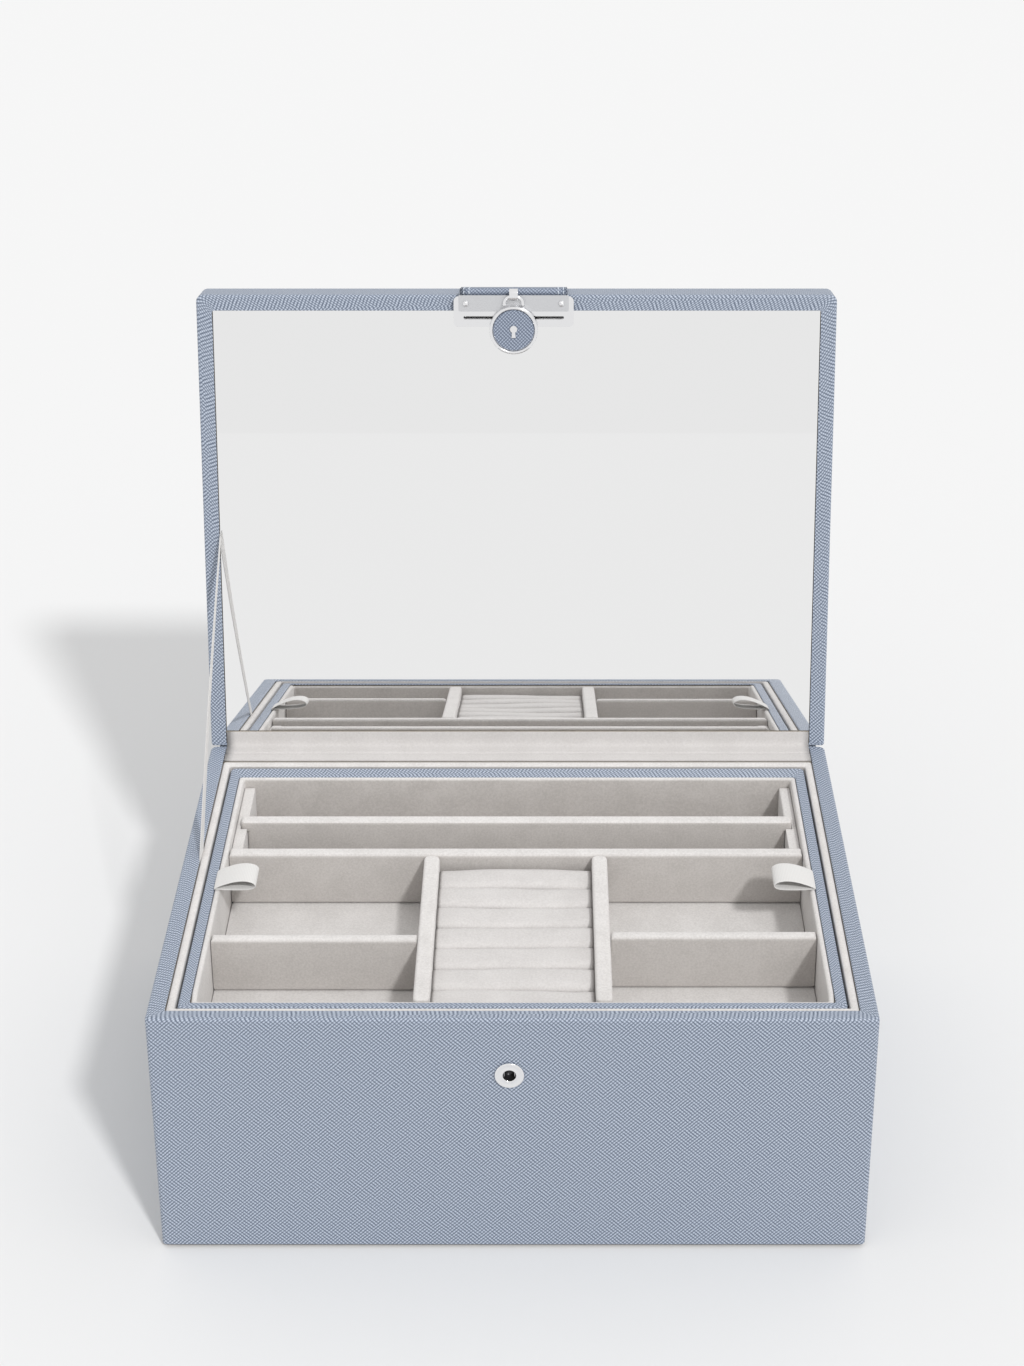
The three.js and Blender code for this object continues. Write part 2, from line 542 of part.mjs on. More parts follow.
  const half = SHACKLE_SPAN / 2;
  const footY = PADLOCK_Y + rim + RELIEF + GAP;
  const route = new THREE.CurvePath();
  const archY = BAIL_Y - SHACKLE_DROP;
  route.add(new THREE.LineCurve3(new THREE.Vector3(-half, footY, 0), new THREE.Vector3(-half, archY, 0)));
  route.add(new THREE.CubicBezierCurve3(
    new THREE.Vector3(-half, archY, 0),
    new THREE.Vector3(-half, BAIL_Y + SHACKLE_PULL, 0),
    new THREE.Vector3(half, BAIL_Y + SHACKLE_PULL, 0),
    new THREE.Vector3(half, archY, 0),
  ));
  route.add(new THREE.LineCurve3(new THREE.Vector3(half, archY, 0), new THREE.Vector3(half, footY, 0)));
  const wire = new THREE.Shape();
  wire.absarc(0, 0, SHACKLE_RADIUS, 0, Math.PI * 2);
  const shackle = new THREE.ExtrudeGeometry(wire, { steps: 22, extrudePath: route, curveSegments: 4 });
  add(flap, 'padlock_shackle', shackle, chrome).position.set(0, 0, shackleZ);

  const studTop = lockBack - GAP;
  const studProfile = [
    [0, STUD_TIP],
    [STUD_RADIUS - STUD_NECK, STUD_TIP],
    [STUD_RADIUS, STUD_TIP + 2 * STUD_NECK],
    [STUD_RADIUS - STUD_NECK, STUD_TIP + 4 * STUD_NECK],
    [STUD_RADIUS - STUD_NECK, studTop - STUD_BASE_HEIGHT],
    [STUD_BASE, studTop - STUD_BASE_HEIGHT],
    [STUD_BASE, studTop],
    [0, studTop],
  ];
  const stud = add(flap, 'snap_stud', lathe(studProfile, 16), chrome);
  stud.position.set(0, PADLOCK_Y, 0);
}

makeCase();
makeStay();
makeTray();
makeLid();
makeClasp();

export default box;
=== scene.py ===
import bmesh
import bpy
import json
import math
import numpy as np
from mathutils import Matrix, Vector


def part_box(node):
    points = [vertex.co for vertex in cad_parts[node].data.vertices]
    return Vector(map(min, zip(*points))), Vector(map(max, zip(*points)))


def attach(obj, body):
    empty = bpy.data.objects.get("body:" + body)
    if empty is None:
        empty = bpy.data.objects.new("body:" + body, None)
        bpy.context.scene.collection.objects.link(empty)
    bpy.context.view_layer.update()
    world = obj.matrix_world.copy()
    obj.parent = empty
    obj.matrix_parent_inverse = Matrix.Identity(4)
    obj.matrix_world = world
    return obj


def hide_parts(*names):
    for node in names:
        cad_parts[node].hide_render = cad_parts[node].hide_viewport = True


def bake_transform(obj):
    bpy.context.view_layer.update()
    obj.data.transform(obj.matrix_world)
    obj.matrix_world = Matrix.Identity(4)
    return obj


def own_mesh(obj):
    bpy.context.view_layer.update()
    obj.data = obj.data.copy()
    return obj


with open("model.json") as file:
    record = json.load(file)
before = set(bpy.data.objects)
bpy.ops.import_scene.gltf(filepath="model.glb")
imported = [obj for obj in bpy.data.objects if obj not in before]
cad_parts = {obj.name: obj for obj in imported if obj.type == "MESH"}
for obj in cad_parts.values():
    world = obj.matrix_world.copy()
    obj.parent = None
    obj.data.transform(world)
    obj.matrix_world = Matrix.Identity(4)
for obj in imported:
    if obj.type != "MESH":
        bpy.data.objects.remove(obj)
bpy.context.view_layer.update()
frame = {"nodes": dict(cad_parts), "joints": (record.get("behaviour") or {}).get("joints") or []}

mm = 0.001

# ---------------------------------------------------------------- camera, floor and light
# A standing camera in front of the box, a little right of its middle, looks down into the open tray. Its
# picture is shifted down and a little to the left of where the lens points.
camera_data = bpy.data.cameras.new("camera")
camera_data.lens = 65.1
camera_data.sensor_width = 36
camera_data.shift_x = -0.0246
camera_data.shift_y = -0.1246
camera_data.clip_start = 0.01
camera = bpy.data.objects.new("camera", camera_data)
camera.location = (0.0136, -0.9426, 0.7212)
camera.rotation_euler = (math.radians(65.62), 0, 0)
bpy.context.collection.objects.link(camera)
bpy.context.scene.camera = camera

# A pale floor, an even white room, and one key light high in front on the right, which throws the box's
# shadow back to the left.
floor_mesh = bpy.data.meshes.new("studio_floor")
floor_half = 6.0
floor_corners = [(x * floor_half, y * floor_half, 0) for x, y in ((-1, -1), (1, -1), (1, 1), (-1, 1))]
floor_mesh.from_pydata(floor_corners, [], [(0, 1, 2, 3)])
studio_floor = bpy.data.objects.new("studio_floor", floor_mesh)
bpy.context.collection.objects.link(studio_floor)
floor_paint = bpy.data.materials.new("studio_floor")
floor_paint.use_nodes = True
floor_look = floor_paint.node_tree.nodes["Principled BSDF"].inputs
floor_look["Base Color"].default_value = (0.72, 0.72, 0.72, 1)
floor_look["Roughness"].default_value = 0.9
floor_look["Specular IOR Level"].default_value = 0.0
floor_mesh.materials.append(floor_paint)

room = bpy.data.worlds.new("studio_room")
room.use_nodes = True
room_light = room.node_tree.nodes["Background"].inputs
room_light["Color"].default_value = (1.0, 1.0, 1.0, 1)
room_light["Strength"].default_value = 0.9
bpy.context.scene.world = room
bpy.context.scene.view_settings.view_transform = "Standard"

key_data = bpy.data.lights.new("key", "SUN")
key_data.energy = 1.75
key_data.angle = math.radians(5)
key = bpy.data.objects.new("key", key_data)
key.rotation_euler = Vector((-0.48, 0.93, -1)).to_track_quat("-Z", "Y").to_euler()
bpy.context.collection.objects.link(key)


# ---------------------------------------------------------------- the case's leatherette
# Board walls covered in cross-grain leatherette, a coated cloth pressed with fine crossing lines. The cover
# is one strip round the four walls, turned over the rim to the inside edge of the boards.
def finish(name, color, roughness, metallic=0.0, sheen=0.0, specular=0.5):
    """A new material with one Principled shader; its plain numbers stay on the shader's own sockets."""
    material = bpy.data.materials.new(name)
    material.use_nodes = True
    tree = material.node_tree
    shader = tree.nodes["Principled BSDF"]
    shader.inputs["Base Color"].default_value = (*color, 1)
    shader.inputs["Roughness"].default_value = roughness
    shader.inputs["Metallic"].default_value = metallic
    shader.inputs["Sheen Weight"].default_value = sheen
    shader.inputs["Sheen Roughness"].default_value = 0.5
    shader.inputs["Specular IOR Level"].default_value = specular
    return material, tree, shader


def wire(tree, kind, **sockets):
    """A node of that kind; each named socket or property is set to a value or joined to another socket."""
    node = tree.nodes.new(kind)
    for key_name, value in sockets.items():
        label = key_name.replace("_", " ")
        match = [s for s in node.inputs if s.name == label or s.name == key_name]
        if key_name[0] == "i" and key_name[1:].isdigit():
            match = [node.inputs[int(key_name[1:])]]
        if match and isinstance(value, bpy.types.NodeSocket):
            tree.links.new(value, match[0])
        elif match:
            match[0].default_value = value
        else:
            setattr(node, key_name, value)
    return node


def leatherette(name, color, groove_shade, grain=1.2 * mm):
    """Two families of pressed lines cross on the piece's own UV, in metres. One family or the other leads in
    each small patch, so that the grain looks woven; its grooves are lower, and painted darker as shade."""
    material, tree, shader = finish(name, color, 0.48)
    uv = wire(tree, "ShaderNodeUVMap", uv_map="UVMap").outputs["UV"]
    noise = wire(tree, "ShaderNodeTexNoise", Vector=uv, Scale=1 / (3.2 * grain), Detail=2.0)
    patches = wire(tree, "ShaderNodeMapRange", Value=noise.outputs["Fac"], i1=0.38, i2=0.62)
    lines = []
    for turn, pitch in ((math.radians(45), grain), (math.radians(-45), 1.12 * grain)):
        turned = wire(tree, "ShaderNodeMapping", Vector=uv, Rotation=(0, 0, turn))
        # a sine wave repeats every 2 pi / 20 of its coordinate at scale 1
        wave = wire(tree, "ShaderNodeTexWave", Vector=turned.outputs["Vector"], Scale=math.pi / 10 / pitch,
                    Distortion=1.1, Detail=1.0)
        wave.wave_profile = "SIN"
        lines.append(wave.outputs["Fac"])
    blend_lines = wire(tree, "ShaderNodeMix", i0=patches.outputs[0], i2=lines[0], i3=lines[1])
    lowest = wire(tree, "ShaderNodeMath", operation="MINIMUM", i0=lines[0], i1=lines[1])
    relief = wire(tree, "ShaderNodeMix", i0=0.55, i2=blend_lines.outputs[0], i3=lowest.outputs[0])
    # painted shade: the grooves take the dark colour, the crests the leather's own
    tint = wire(tree, "ShaderNodeMix", data_type="RGBA", i0=relief.outputs[0],
                i6=(*groove_shade, 1), i7=(*color, 1))
    tree.links.new(tint.outputs[2], shader.inputs["Base Color"])
    bump = wire(tree, "ShaderNodeBump", Strength=0.6, Distance=0.14 * mm, Height=relief.outputs[0])
    tree.links.new(bump.outputs["Normal"], shader.inputs["Normal"])
    return material


def ring(x, y, radius, z, steps=6, back_radius=None):
    """The points of a rounded rectangle at height z: at each corner, centre + radius * (cos a, sin a)."""
    r = max(radius, 1e-5)
    b = r if back_radius is None else min(r, back_radius)
    a = np.linspace(0, math.pi / 2, steps + 1)
    corners = [(x[1] - b, y[1] - b, 0, b), (x[0] + b, y[1] - b, 1, b),
               (x[0] + r, y[0] + r, 2, r), (x[1] - r, y[0] + r, 3, r)]
    points = [np.stack([cx + size * np.cos(a + q * math.pi / 2), cy + size * np.sin(a + q * math.pi / 2),
                        np.full_like(a, z)], axis=1) for cx, cy, q, size in corners]
    return np.concatenate(points)


def skin(name, rings, material, closed=False, caps=False, place=None):
    """A surface through a stack of rings of equal count: quads join each ring to the next. The UV runs along
    the ring and down the stack, both in metres. closed joins the last ring to the first."""
    grid = np.array(rings, float)
    rows, count = grid.shape[:2]
    around = np.linalg.norm(np.roll(grid[rows // 2], -1, 0) - grid[rows // 2], axis=1)
    u = np.concatenate([[0], np.cumsum(around)])
    # at a corner the walls step inwards along X and Y at once; across each wall it's only one of them
    step = np.abs(np.roll(grid, -1, 0) - grid)
    along = np.hypot(step[..., :2].max(axis=2), step[..., 2]).mean(axis=1)
    v = np.concatenate([[0], np.cumsum(along)])
    if place is not None:
        turned = np.array(place.to_3x3())
        grid = grid @ turned.T + np.array(place.translation)
    r = np.arange(rows if closed else rows - 1)[:, None]
    c = np.arange(count)[None, :]
    r2, c2 = (r + 1) % rows, (c + 1) % count
    quads = np.stack([r * count + c, r * count + c2, r2 * count + c2, r2 * count + c], axis=-1).reshape(-1, 4)
    faces = quads.tolist()
    if caps:
        faces += [list(range(count))[::-1], [(rows - 1) * count + i for i in range(count)]]
    mesh = bpy.data.meshes.new(name)
    mesh.from_pydata(grid.reshape(-1, 3).tolist(), [], faces)
    corner_u = np.stack([u[c + 0 * r], u[c + 1 + 0 * r], u[c + 1 + 0 * r], u[c + 0 * r]], axis=-1)
    corner_v = np.stack([v[r + 0 * c], v[r + 0 * c], v[r + 1 + 0 * c], v[r + 1 + 0 * c]], axis=-1)
    uv = np.stack([corner_u, corner_v], axis=-1).reshape(-1, 2)
    if caps:
        flat = np.concatenate([grid[0][::-1], grid[-1]])
        spans = np.ptp(flat, axis=0)
        axes = sorted(range(3), key=lambda k: -spans[k])[:2]
        uv = np.concatenate([uv, flat[:, axes]])
    layer = mesh.uv_layers.new(name="UVMap")
    layer.data.foreach_set("uv", uv.astype(np.float32).ravel())
    mesh.materials.append(material)
    mesh.validate()
    piece = bpy.data.objects.new(name, mesh)
    bpy.context.collection.objects.link(piece)
    face_out(piece)
    mark_front_back_shade(mesh)
    mesh.polygons.foreach_set("use_smooth", np.ones(len(mesh.polygons), bool))
    weighted = piece.modifiers.new("even_shading", "WEIGHTED_NORMAL")
    weighted.keep_sharp = True
    return piece


def mark_front_back_shade(mesh):
    """Gives each face how far it faces the front or the back of the box, |normal y| to the fourth power: the
    mask for the velvet's painted shade.
    """
    normals = np.empty(len(mesh.polygons) * 3)
    mesh.polygons.foreach_get("normal", normals)
    mark = mesh.attributes.new("front_back_shade", "FLOAT", "FACE")
    mark.data.foreach_set("value", np.abs(normals[1::3]) ** 4)


def face_out(piece):
    """Turns the whole shell over if its enclosed volume comes out negative."""
    mesh = piece.data
    mesh.calc_loop_triangles()
    corners = np.array([v.co for v in mesh.vertices])[np.array([t.vertices for t in mesh.loop_triangles])]
    volume = np.einsum("ij,ij->i", corners[:, 0], np.cross(corners[:, 1], corners[:, 2])).sum()
    if volume < 0:
        mesh.flip_normals()


blue_leather = leatherette("blue_leatherette", (0.52, 0.578, 0.676), (0.081, 0.105, 0.154))
low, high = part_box("case_wrap")
left, right, front, back = low.x, high.x, low.y, high.y
rim_z = high.z
foot_z = low.z
board_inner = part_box("case_right")[0].x
front_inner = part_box("case_front")[1].y
leather = 0.8 * mm
tucked = leather + 0.1 * mm


def wall_ring(side, ahead, behind, z, radius):
    """A ring inset from the case's outside by its own amount at the sides, the front and the back."""
    return ring((left + side, right - side), (front + ahead, back - behind), radius, z)


side_wall = right - board_inner
front_wall = front_inner - front
turn = 1.3 * mm
case_rings = [wall_ring(leather, leather, leather, foot_z, 1.2 * mm),
              wall_ring(0.4 * mm, 0.4 * mm, 0.4 * mm, foot_z, 1.6 * mm),
              wall_ring(0, 0, 0, foot_z + 0.6 * mm, 2 * mm)]
for a in np.linspace(0, math.pi / 2, 6):
    inset = turn * (1 - math.cos(a))
    height = rim_z - turn + turn * math.sin(a)
    case_rings.append(wall_ring(inset, inset, min(inset, 0.4 * mm), height, 2 * mm))
inner_turn = 0.7 * mm
for a in np.linspace(0, math.pi / 2, 4):
    inset = inner_turn * (1 - math.sin(a))
    drop = inner_turn * (1 - math.cos(a))
    case_rings.append(wall_ring(side_wall - inset, front_wall - inset, tucked, rim_z - drop, 1 * mm))
case_rings.append(wall_ring(side_wall, front_wall, tucked, rim_z - leather, 1 * mm))
case_rings.append(wall_ring(tucked, tucked, leather, rim_z - tucked, 1 * mm))
case_leather = skin("case_leather", case_rings, blue_leather, closed=True)
socket_low, socket_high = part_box("snap_socket")
socket_mid = (socket_low + socket_high) / 2


def pierce(mesh, x, z, radius, sides=32):
    """Opens a round hole through the front wall's cover: both its flat front faces become four-sided frames
    round a circle, and a short tube joins the two circles."""
    bm = bmesh.new()
    bm.from_mesh(mesh)
    uv = bm.loops.layers.uv.active
    flats = [f for f in bm.faces if abs(f.normal.y) > 0.999 and f.calc_center_median().y < 0]
    flats = sorted(flats, key=lambda f: -f.calc_area())[:2]
    circles = []
    for face in flats:
        corners = [loop.vert for loop in face.loops]
        base = {loop.vert: loop[uv].uv.copy() for loop in face.loops}
        xs, zs = [v.co.x for v in corners], [v.co.z for v in corners]
        lows = [base[v] for v in corners if v.co.x < x and v.co.z < z][0]
        rights = [base[v] for v in corners if v.co.x > x and v.co.z < z][0]
        tops = [base[v] for v in corners if v.co.x < x and v.co.z > z][0]
        across = (rights - lows) / (max(xs) - min(xs))
        upward = (tops - lows) / (max(zs) - min(zs))
        plane_y = corners[0].co.y
        start = [math.atan2(v.co.z - z, v.co.x - x) for v in corners]
        sense = 1 if (start[1] - start[0]) % (2 * math.pi) < math.pi else -1
        circle = [bm.verts.new((x + radius * math.cos(2 * math.pi * i / sides), plane_y,
                                z + radius * math.sin(2 * math.pi * i / sides))) for i in range(sides)]
        nearest = [round(a / (2 * math.pi) * sides) % sides for a in start]
        for i, corner in enumerate(corners):
            following = (i + 1) % 4
            run = [nearest[following]]
            while run[-1] != nearest[i]:
                run.append((run[-1] - sense) % sides)
            panel = bm.faces.new([corner, corners[following]] + [circle[k] for k in run])
            for loop in panel.loops:
                offset = loop.vert.co
                loop[uv].uv = lows + across * (offset.x - min(xs)) + upward * (offset.z - min(zs))
        bm.faces.remove(face)
        circles.append((circle, sense))
    (outer, sense), (inner, _) = circles
    for i in range(sides):
        j = (i + 1) % sides
        quad = (outer[i], outer[j], inner[j], inner[i])
        bm.faces.new(quad if sense > 0 else (quad[1], quad[0], quad[3], quad[2]))
    bmesh.ops.recalc_face_normals(bm, faces=bm.faces)
    bm.to_mesh(mesh)
    bm.free()
    mesh.polygons.foreach_set("use_smooth", np.ones(len(mesh.polygons), bool))


pierce(case_leather.data, socket_mid.x, socket_mid.z, 4.8 * mm)
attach(case_leather, "case")
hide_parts("case_wrap")


# ---------------------------------------------------------------- boards and base felt
# Thin boards of grey-brown fibreboard make the case, the lid and the tray. They are hidden once covered.
# A felt glued under the base keeps the box off the table.
fibreboard, board_tree, board_shader = finish("fibreboard", (0.36, 0.31, 0.25), 0.85)
board_grain = wire(board_tree, "ShaderNodeTexNoise", Scale=900.0, Detail=4.0,
                   Vector=wire(board_tree, "ShaderNodeTexCoord").outputs["Object"])
board_ramp = wire(board_tree, "ShaderNodeMix", data_type="RGBA", i0=board_grain.outputs["Fac"],
                  i6=(0.29, 0.25, 0.20, 1), i7=(0.42, 0.37, 0.30, 1))
board_tree.links.new(board_ramp.outputs[2], board_shader.inputs["Base Color"])


def dress(node_names, material):
    """Gives CAD nodes whose shape is already right their finish."""
    for node_name in node_names:
        mesh = frame["nodes"][node_name].data
        mesh.materials.clear()
        mesh.materials.append(material)


dress(["case_base", "case_front", "case_back", "case_left", "case_right",
       "lid_panel", "lid_frame", "mirror_backing",
       "tray_base", "tray_front", "tray_back", "tray_left", "tray_right"], fibreboard)


def napped(name, color, shade, sheen, scale=1100.0, front_back_shade=None):
    """Short-pile cloth: fine speckle for the nap, slow patches where it leans, and sheen at grazing angles.
    Faces that look to the front or the back are darkened by the given factor: painted shade."""
    material, tree, shader = finish(name, color, 0.95, sheen=sheen, specular=0.1)
    place = wire(tree, "ShaderNodeTexCoord").outputs["Object"]
    nap = wire(tree, "ShaderNodeTexNoise", Vector=place, Scale=scale, Detail=3.0, Roughness=0.7)
    lean = wire(tree, "ShaderNodeTexNoise", Vector=place, Scale=70.0, Detail=2.0)
    both = wire(tree, "ShaderNodeMix", i0=0.3, i2=nap.outputs["Fac"], i3=lean.outputs["Fac"])
    spread = wire(tree, "ShaderNodeMapRange", Value=both.outputs[0], i1=0.38, i2=0.62)
    tint = wire(tree, "ShaderNodeMix", data_type="RGBA", i0=spread.outputs[0], i6=(*shade, 1), i7=(*color, 1))
    # painted shade: faces towards the front or back take the darker factor
    if front_back_shade:
        face_shade_mask = wire(tree, "ShaderNodeAttribute", attribute_name="front_back_shade")
        tint = wire(tree, "ShaderNodeMix", data_type="RGBA", blend_type="MULTIPLY", i0=face_shade_mask.outputs["Fac"],
                    i6=tint.outputs[2], i7=(*front_back_shade, 1))
    tree.links.new(tint.outputs[2], shader.inputs["Base Color"])
    bump = wire(tree, "ShaderNodeBump", Strength=0.5, Distance=0.10 * mm, Height=nap.outputs["Fac"])
    tree.links.new(bump.outputs["Normal"], shader.inputs["Normal"])
    return material


base_felt_cloth = napped("base_felt_cloth", (0.66, 0.63, 0.59), (0.52, 0.50, 0.46), 0.1, 1500.0)


def block_like(name, node_name, edge, material, body, corner=None, steps=4):
    """A pad or board with rounded edges in a CAD node's box, standing for that node. Rings follow a quarter
    circle at the bottom and the top, inset = edge * (1 - cos a), and flat caps close it."""
    corner = edge if corner is None else corner
    a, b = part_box(node_name)
    rings = []
    for level, way, start, end in ((a.z, 1, math.pi / 2, 0), (b.z, -1, 0, math.pi / 2)):
        for angle in np.linspace(start, end, steps):
            inset = edge * (1 - math.cos(angle))
            rings.append(ring((a.x + inset, b.x - inset), (a.y + inset, b.y - inset),
                              max(corner - inset, 0.05 * mm), level + way * edge * (1 - math.sin(angle))))
    piece = skin(name, rings, material, caps=True)
    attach(piece, body)
    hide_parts(node_name)
    return piece


block_like("base_felt_pad", "base_felt", 0.3 * mm, base_felt_cloth, "case", corner=2 * mm)

# ---------------------------------------------------------------- velvet lining of the case
# A cream velvet strip glued inside the four walls, its top edge just under the rim, and a padded floor.
# Two velvet-covered ledges carry the tray.
# Painted shade on the velvet's faces that look to the front or the back: their colour is multiplied by this.
painted_face_shade = (0.80, 0.785, 0.77)
cream_velvet = napped("cream_velvet", (0.66, 0.64, 0.625), (0.55, 0.53, 0.515), 0.15, front_back_shade=painted_face_shade)


def frame_like(name, node_name, wall, edge, material, body, dip=0):
    """A four-sided velvet band in a CAD node's box. wall gives its thickness at the sides, front and back.
    Its top edge is rounded by a half circle, and lower by dip along the front."""
    a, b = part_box(node_name)
    near = a.y + 7 * mm
    rings = []

    def band(t, z):
        x = (a.x + wall[0] * t, b.x - wall[0] * t)
        y = (a.y + wall[1] * t, b.y - wall[2] * t)
        points = ring(x, y, 1 * mm, z)
        half = len(points) // 2
        points = np.concatenate([points[:half], [(x[0], near, z)], points[half:], [(x[1], near, z)]])
        if z > a.z:
            points[points[:, 1] < near - 1e-4, 2] -= dip
        return points

    for angle in np.linspace(0, math.pi, 9):
        t = (1 - math.cos(angle)) / 2
        rings.append(band(t, b.z - edge + edge * math.sin(angle)))
    rings.append(band(1, a.z))
    rings.append(band(0, a.z))
    piece = skin(name, rings, material, closed=True)
    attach(piece, body)
    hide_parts(node_name)
    return piece


liner_low, liner_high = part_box("case_liner")
pad_low, pad_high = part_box("floor_pad")
liner_wall = (liner_high.x - pad_high.x - 0.25 * mm, pad_low.y - liner_low.y - 0.25 * mm,
              liner_high.y - pad_high.y - 0.25 * mm)
frame_like("case_lining", "case_liner", liner_wall, 1 * mm, cream_velvet, "case")
lower_floor = block_like("lower_floor", "floor_pad", 0.6 * mm, cream_velvet, "case")
block_like("tray_ledge_left", "ledge_left", 1.2 * mm, cream_velvet, "case")
block_like("tray_ledge_right", "ledge_right", 1.2 * mm, cream_velvet, "case")

# ---------------------------------------------------------------- the fabric hinge
# Two glued strips join case and lid: cream velvet inside, over the doubled back wall and onto the lid's rim,
# and leatherette outside. The lid is laid out shut and turned open about the hinge line at the back of the
# rim.
hinge_z = 0.118
hinge = Vector((0, back, hinge_z))
lid_joint = [j for j in frame["joints"] if j["name"] == "lid_hinge"][0]
opening = math.radians(-lid_joint["range_deg"][0])
open_lid = Matrix.Translation(hinge) @ Matrix.Rotation(-opening, 4, "X") @ Matrix.Translation(-hinge)


def strip(name, path, normals, x, thickness, material, wave=0.0, place=None, crease=None):
    """A flat band whose section follows path in the Y-Z plane, thickness deep on both sides of it. The width
    runs along X; a slow ripple, wave * sin, lifts its face so that it doesn't look ironed. A crease, at its
    distance along the path, sinks the face by depth * exp(-(distance / width) ^ 2)."""
    path = np.array(path, float)
    normals = np.array(normals, float)
    columns = 60 if wave else 12
    xs = np.linspace(x[0], x[1], columns)
    sunk = np.zeros(len(path))
    if crease:
        at, depth, width = crease
        run = np.concatenate([[0], np.cumsum(np.linalg.norm(np.diff(path, axis=0), axis=1))])
        sunk = depth * np.exp(-((run - at) / width) ** 2)
    loops = []
    for position in xs:
        ripple = wave * (math.sin(position * 61) + 0.6 * math.sin(position * 143 + 1.3))
        upper = path + normals * (thickness / 2 + ripple - sunk[:, None])
        lower = path - normals * thickness / 2
        section = np.concatenate([upper, lower[::-1]])
        loops.append(np.column_stack([np.full(len(section), position), section]))
    return skin(name, loops, material, caps=True, place=place)


def bent_path(points, steps=6):
    """Points through a polyline whose corners are eased by a cubic through them (Catmull-Rom), and the unit
    normals to its left."""
    p = np.array(points, float)
    padded = np.vstack([2 * p[0] - p[1], p, 2 * p[-1] - p[-2]])
    out = []
    for i in range(1, len(padded) - 2):
        a, b, c, d = padded[i - 1:i + 3]
        for t in np.linspace(0, 1, steps, endpoint=False):
            out.append(0.5 * (2 * b + (c - a) * t + (2 * a - 5 * b + 4 * c - d) * t * t
                              + (3 * b - a - 3 * c + d) * t ** 3))
    out.append(p[-1])
    out = np.array(out)
    tangent = np.gradient(out, axis=0)
    tangent /= np.linalg.norm(tangent, axis=1)[:, None]
    return out, np.column_stack([-tangent[:, 1], tangent[:, 0]])


def on_lid(y, z):
    """The place in the open pose of a point given in the shut lid's Y and Z."""
    moved = open_lid @ Vector((0, y, z))
    return (moved.y, moved.z)


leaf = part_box("hinge_strip_case")
lid_low = hinge_z + 0.4 * mm
strip_points = [(leaf[0].y + 0.3 * mm, leaf[1].z - 0.5 * mm), (leaf[0].y + 6 * mm, leaf[1].z - 0.45 * mm),
                (leaf[1].y - 2 * mm, leaf[1].z - 0.45 * mm), (back - 0.2 * mm, leaf[1].z + 0.2 * mm),
                on_lid(back - 2.5 * mm, lid_low + 0.35 * mm), on_lid(back - 7.2 * mm, lid_low + 0.35 * mm)]
path, normals = bent_path(strip_points, steps=24)
hinge_cloth = napped("hinge_cloth", (0.56, 0.54, 0.528), (0.50, 0.48, 0.468), 0.15)
inner_half, outer_half = 142.2 * mm, 146 * mm
inner_strip = strip("inner_hinge_strip", path, normals, (-inner_half, inner_half), 0.7 * mm, hinge_cloth,
                    wave=0.05 * mm, crease=(7.0 * mm, 0.5 * mm, 0.8 * mm))
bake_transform(inner_strip)
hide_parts("hinge_strip_case", "hinge_strip_lid")

outside_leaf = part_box("outer_strip_case")
y_out = (outside_leaf[0].y + outside_leaf[1].y) / 2
outer_points = [(y_out, outside_leaf[0].z), (y_out, outside_leaf[1].z - 3 * mm),
                (y_out + 0.2 * mm, hinge_z - 1.7 * mm), on_lid(y_out, hinge_z + 2.5 * mm),
                on_lid(y_out, hinge_z + 8 * mm), on_lid(y_out, hinge_z + 14 * mm)]
path, normals = bent_path(outer_points)
outer_strip = strip("outer_hinge_strip", path, normals, (-outer_half, outer_half), 0.7 * mm, blue_leather)
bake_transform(outer_strip)
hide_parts("outer_strip_case", "outer_strip_lid")

# ---------------------------------------------------------------- the lid
# A shallow board box covered in the same leatherette, open side down, with a silvered mirror let into it. The
# cover turns under the rim to the mirror's edge. The mirror sits a little below the rim.
lid_high = lid_low + 20 * mm
lid_rim = 7.4 * mm
soft = 1.6 * mm


def lid_ring(side, ahead, behind, z, radius):
    """A ring of the shut lid, inset by its own amount at the sides, the front and the back."""
    return ring((left + side, right - side), (front + ahead, back - behind), radius, z, 8, 1.2 * mm)


lid_rings = [lid_ring(leather, leather, leather, lid_high - leather, 2.7 * mm),
             lid_ring(leather, leather, leather, lid_low + leather, 2.7 * mm),
             lid_ring(lid_rim, lid_rim, tucked, lid_low + leather, 1 * mm)]
for a in np.linspace(math.pi / 2, 0, 4):
    inset = lid_rim - inner_turn + inner_turn * (1 - math.sin(a))
    drop = inner_turn * (1 - math.cos(a))
    lid_rings.append(lid_ring(inset, inset, tucked, lid_low + drop, 1 * mm))
for a in np.linspace(0, math.pi / 2, 6):
    inset = turn * (1 - math.sin(a))
    height = lid_low + turn * (1 - math.cos(a))
    lid_rings.append(lid_ring(inset, inset, min(inset, 0.4 * mm), height, 3.5 * mm))
for a in np.linspace(0, math.pi / 2, 6):
    inset = soft * (1 - math.cos(a))
    lid_rings.append(lid_ring(inset, inset, inset, lid_high - soft + soft * math.sin(a), 3.5 * mm))
lid_leather = skin("lid_leather", lid_rings, blue_leather, caps=True, place=open_lid)
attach(lid_leather, "lid")
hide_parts("lid_wrap")


def worn(name, color, roughness, metallic, scale, detail, least, most):
    """A metal finish whose roughness wanders between least and most."""
    material, tree, shader = finish(name, color, roughness, metallic=metallic)
    wear = wire(tree, "ShaderNodeTexNoise", Scale=scale, Detail=detail,
                Vector=wire(tree, "ShaderNodeTexCoord").outputs["Object"])
    spread = wire(tree, "ShaderNodeMapRange", Value=wear.outputs["Fac"], i3=least, i4=most)
    tree.links.new(spread.outputs[0], shader.inputs["Roughness"])
    return material


